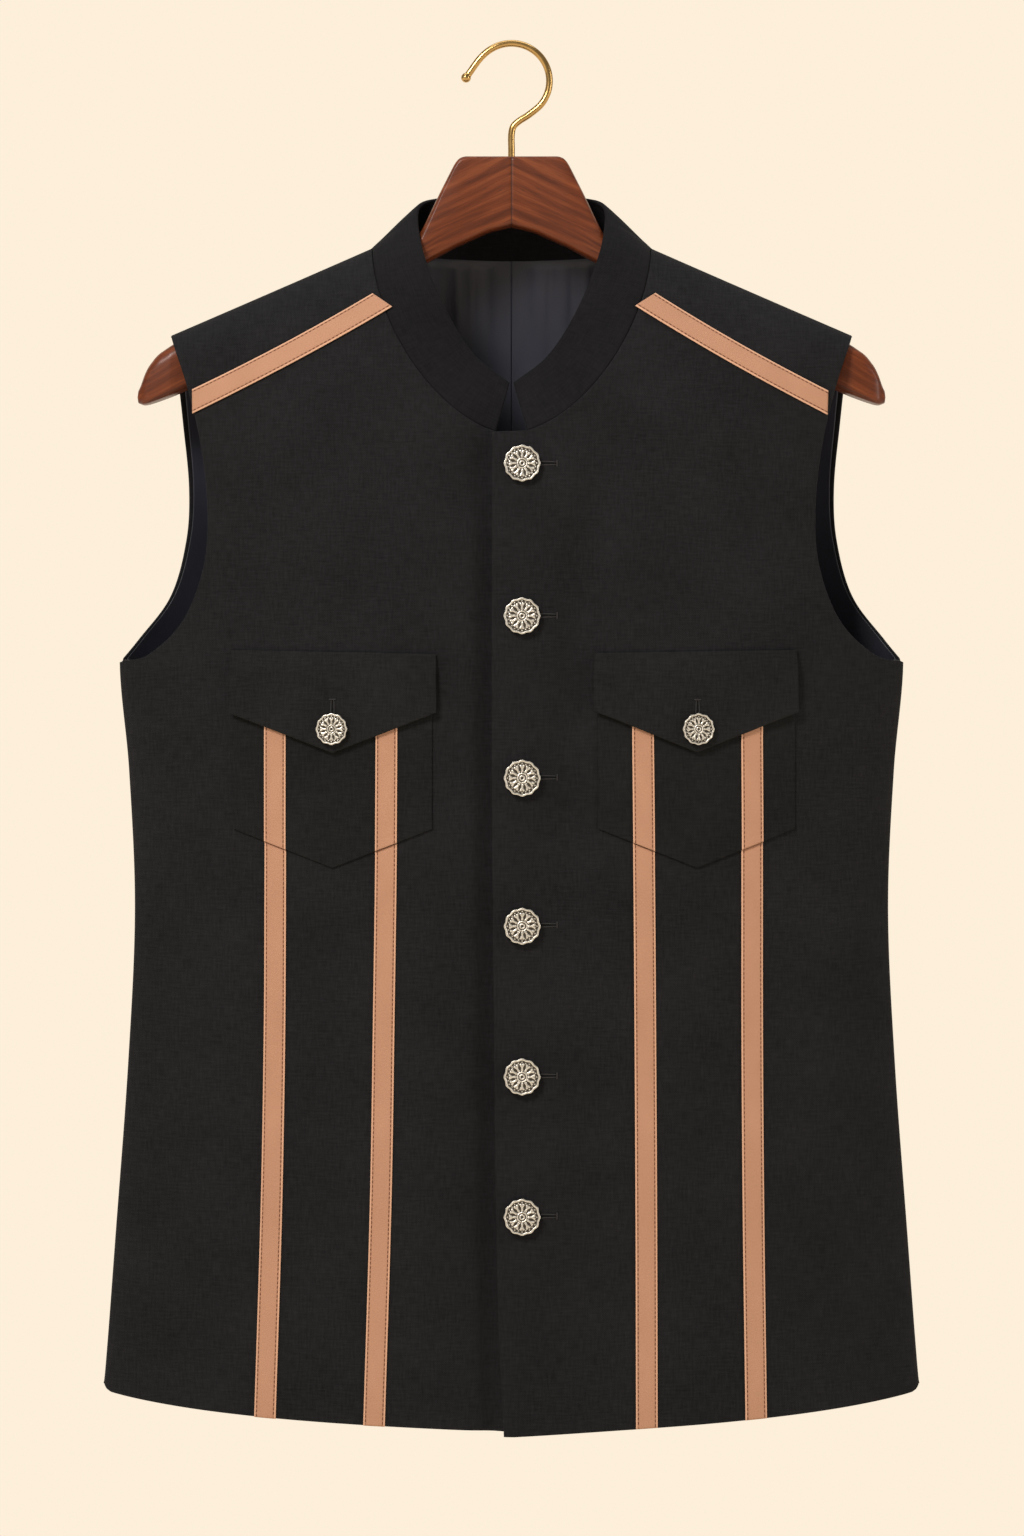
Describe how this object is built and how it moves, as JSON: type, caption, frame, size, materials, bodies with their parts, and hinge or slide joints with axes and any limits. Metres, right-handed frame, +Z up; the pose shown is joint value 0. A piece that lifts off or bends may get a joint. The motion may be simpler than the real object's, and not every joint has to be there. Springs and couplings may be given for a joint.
{
  "type": "sleeveless stand-collar jacket on a wooden hanger",
  "caption": "Sleeveless stand-collar jacket with flap pockets and copper tapes, buttoned down the front, hanging on a wooden hanger with a brass hook.",
  "frame": {"origin": "inside top of the hook's bow, where it bears on a rail", "axes": "+Z up, the jacket's front faces -Y, +X is the wearer's left"},
  "size_m": [0.4978, 0.125, 0.8448],
  "materials": {
    "suiting": "charcoal black fine twill, matt",
    "lining": "charcoal satin lining",
    "tape": "copper-tan woven tape, edge-stitched",
    "button_metal": "antique silver, darkened in its recesses",
    "walnut": "dark walnut, satin varnish",
    "hook_brass": "polished brass"
  },
  "bodies": {
    "root": {"front_left": "suiting", "front_right": "suiting", "back": "suiting", "collar": "suiting", "pocket_left": "suiting", "pocket_right": "suiting", "flap_left": "suiting", "flap_right": "suiting", "lining_back_left": "lining", "lining_back_right": "lining", "tape_left_inner": "tape", "tape_left_outer": "tape", "tape_right_inner": "tape", "tape_right_outer": "tape", "tape_pocket_left_inner": "tape", "tape_pocket_left_outer": "tape", "tape_pocket_right_inner": "tape", "tape_pocket_right_outer": "tape", "tape_yoke_left": "tape", "tape_yoke_right": "tape", "button_1": "button_metal", "button_2": "button_metal", "button_3": "button_metal", "button_4": "button_metal", "button_5": "button_metal", "button_6": "button_metal", "button_flap_left": "button_metal", "button_flap_right": "button_metal", "hanger": "walnut", "hook": "hook_brass"}
  },
  "joints": []
}
